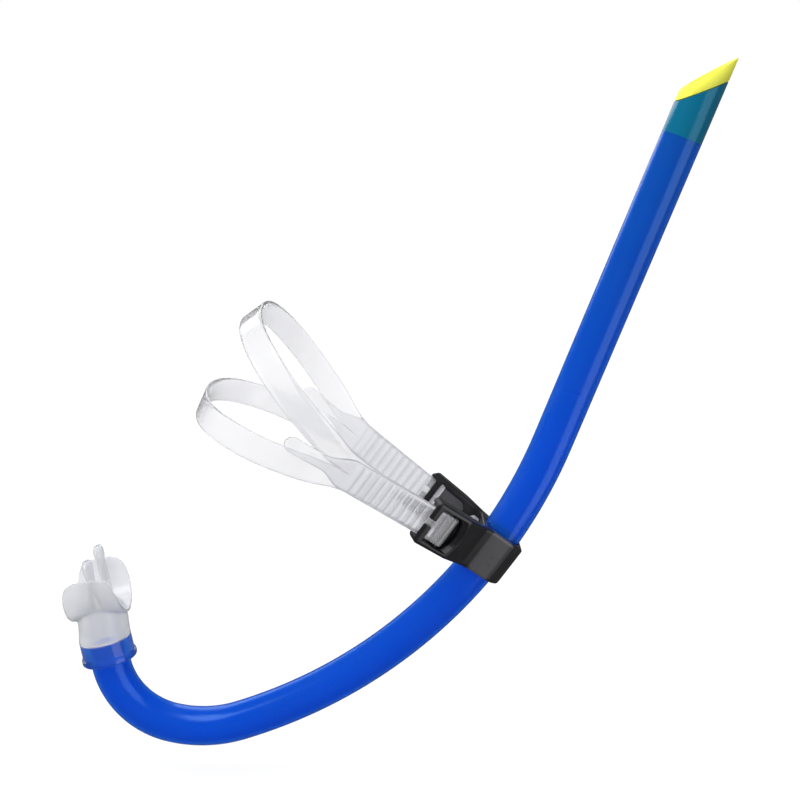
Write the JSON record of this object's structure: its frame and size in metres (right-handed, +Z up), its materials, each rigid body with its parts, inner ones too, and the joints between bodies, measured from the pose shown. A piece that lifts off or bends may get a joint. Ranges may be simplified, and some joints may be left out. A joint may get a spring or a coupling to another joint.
{
  "type": "snorkel tube",
  "caption": "Swimmer's centre snorkel: a J-shaped tube with an angled tip, a soft mouthpiece, and a forehead bracket that holds a split head strap.",
  "frame": {"origin": "the middle of the forehead pad's flat face", "axes": "+Z up as pictured; the tube's curve lies in the XZ plane, its open tip up and to +X, and the head on the -X side; +Y is across the head. The pad's face looks along -X and +Z."},
  "size_m": [0.3443, 0.1336, 0.3646],
  "materials": {
    "tube": "glossy, faintly translucent",
    "tip_insert": "soft, satin",
    "mouthpiece": "clear silicone, satin",
    "bracket": "satin black",
    "forehead_pad": "clear silicone, satin",
    "strap": "clear silicone, satin"
  },
  "bodies": {
    "bracket": {"bracket": "bracket", "forehead_pad": "forehead_pad", "strap_near_fold": "strap", "strap_far_fold": "strap"},
    "tube": {"tube": "tube", "tip_insert": "tip_insert"},
    "mouthpiece": {"mouthpiece": "mouthpiece"},
    "strap": {"strap_bands": "strap", "strap_near_tail": "strap", "strap_far_tail": "strap"}
  },
  "joints": [
    {"name": "tube_slide", "type": "hinge", "parent": "bracket", "child": "tube", "pos_m": [-0.19998, 0, 0.14583], "axis": [0, 1, 0], "range_deg": [-11, 11]},
    {"name": "mouthpiece_turn", "type": "hinge", "parent": "tube", "child": "mouthpiece", "pos_m": [-0.19176, 0, -0.06028], "axis": [-0.1908, 0, 0.9816], "continuous": true},
    {"name": "strap_flex", "type": "hinge", "parent": "bracket", "child": "strap", "pos_m": [-0.02545, 0, 0.01856], "axis": [0, 1, 0], "range_deg": [-20, 20], "stiffness_Nm_per_rad": 0.05}
  ]
}
